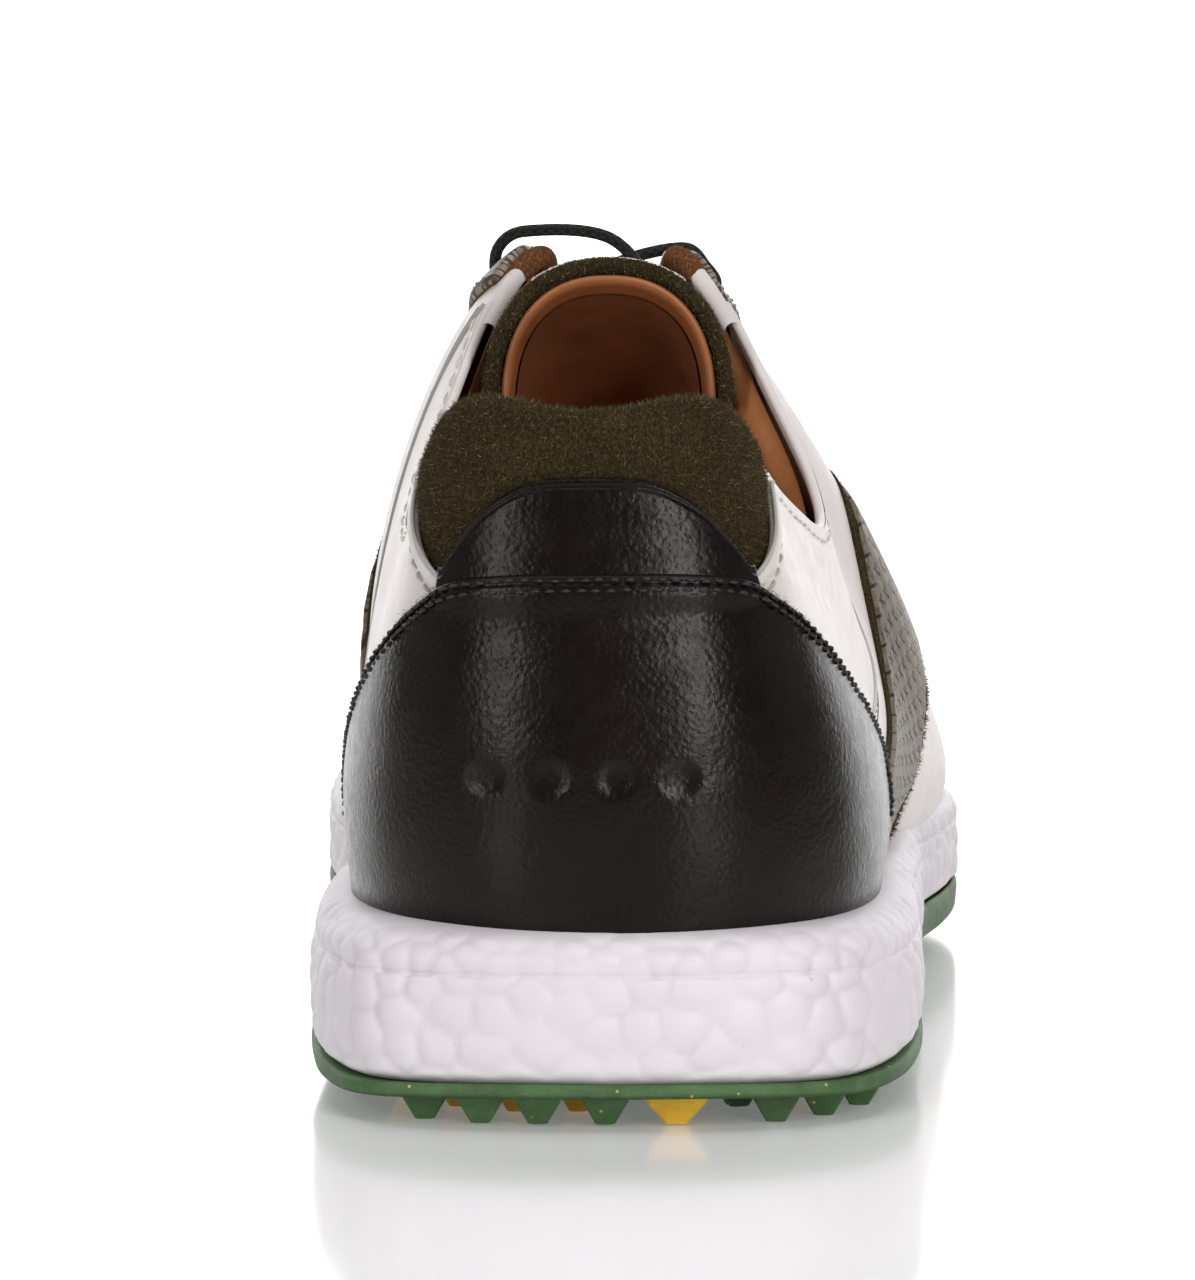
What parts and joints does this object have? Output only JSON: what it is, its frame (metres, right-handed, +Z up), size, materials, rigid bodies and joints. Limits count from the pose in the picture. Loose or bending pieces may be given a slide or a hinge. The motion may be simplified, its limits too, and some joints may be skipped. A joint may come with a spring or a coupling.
{
  "type": "golf shoe",
  "caption": "Low-cut golf shoe for the right foot: lined leather upper with saddle stripe, laced tongue, foam midsole and lugged rubber outsole.",
  "frame": {"origin": "bottom centre of the shoe's box, on the ground", "axes": "+Y from the heel towards the toe, +X towards the little toe (lateral), +Z up"},
  "size_m": [0.108, 0.3033, 0.1255],
  "materials": {
    "green_rubber": "matte, finely pebbled at the rim",
    "yellow_rubber": "matte",
    "white_foam": "expanded bead foam, polygon cells, satin",
    "steel": "plain spring steel",
    "board": "bonded fibre board",
    "tan_leather": "smooth, semi-matte",
    "white_leather": "smooth, satin",
    "black_leather": "fine grain, glossy",
    "weave_leather": "embossed weave, satin",
    "olive_suede": "napped suede",
    "brown_suede": "raw suede edge",
    "textile_lining": "woven, matte",
    "stiffener": "thermoformed sheet",
    "foam": "open-cell foam",
    "grey_piping": "satin",
    "white_piping": "satin",
    "black_cord": "round waxed cord",
    "clear_plastic": "gloss"
  },
  "bodies": {
    "shoe": {"outsole": "green_rubber", "midsole": "white_foam", "shank": "steel", "lasting_board": "board", "vamp": "white_leather", "toe_rand": "white_leather", "toe_puff": "stiffener", "vamp_lining": "textile_lining", "heel_counter": "black_leather", "back_tab": "black_leather", "counter_stiffener": "stiffener", "collar_suede": "olive_suede", "collar_foam": "foam", "quarter_lining": "tan_leather", "lace": "black_cord", "aglet_a": "clear_plastic", "aglet_b": "clear_plastic", "quarter_rear_lateral": "white_leather", "quarter_front_lateral": "white_leather", "saddle_backing_lateral": "olive_suede", "saddle_stripe_lateral": "weave_leather", "eyestay_backing_lateral": "brown_suede", "eyestay_lateral": "weave_leather", "piping_lateral": "grey_piping", "collar_piping_lateral": "white_piping", "quarter_rear_medial": "white_leather", "quarter_front_medial": "white_leather", "saddle_backing_medial": "olive_suede", "saddle_stripe_medial": "weave_leather", "eyestay_backing_medial": "brown_suede", "eyestay_medial": "weave_leather", "piping_medial": "grey_piping", "collar_piping_medial": "white_piping", "yellow_lug_01": "yellow_rubber", "yellow_lug_02": "yellow_rubber", "yellow_lug_03": "yellow_rubber", "yellow_lug_04": "yellow_rubber", "yellow_lug_05": "yellow_rubber", "yellow_lug_06": "yellow_rubber", "yellow_lug_07": "yellow_rubber", "yellow_lug_08": "yellow_rubber", "yellow_lug_09": "yellow_rubber", "yellow_lug_10": "yellow_rubber", "yellow_lug_11": "yellow_rubber"},
    "tongue": {"tongue_suede": "olive_suede", "tongue_foam": "foam", "tongue_lining": "tan_leather", "tongue_patch": "white_leather"},
    "insole": {"sockliner": "tan_leather"}
  },
  "joints": [
    {"name": "tongue_fold", "type": "hinge", "parent": "shoe", "child": "tongue", "pos_m": [-0.00587, 0.03745, 0.062], "axis": [1, 0, 0], "range_deg": [0, 14], "stiffness_Nm_per_rad": 0.5, "springref_deg": -2.86},
    {"name": "insole_lift", "type": "slide", "parent": "shoe", "child": "insole", "axis": [0, 0, 1], "range_m": [0, 0.005]}
  ]
}
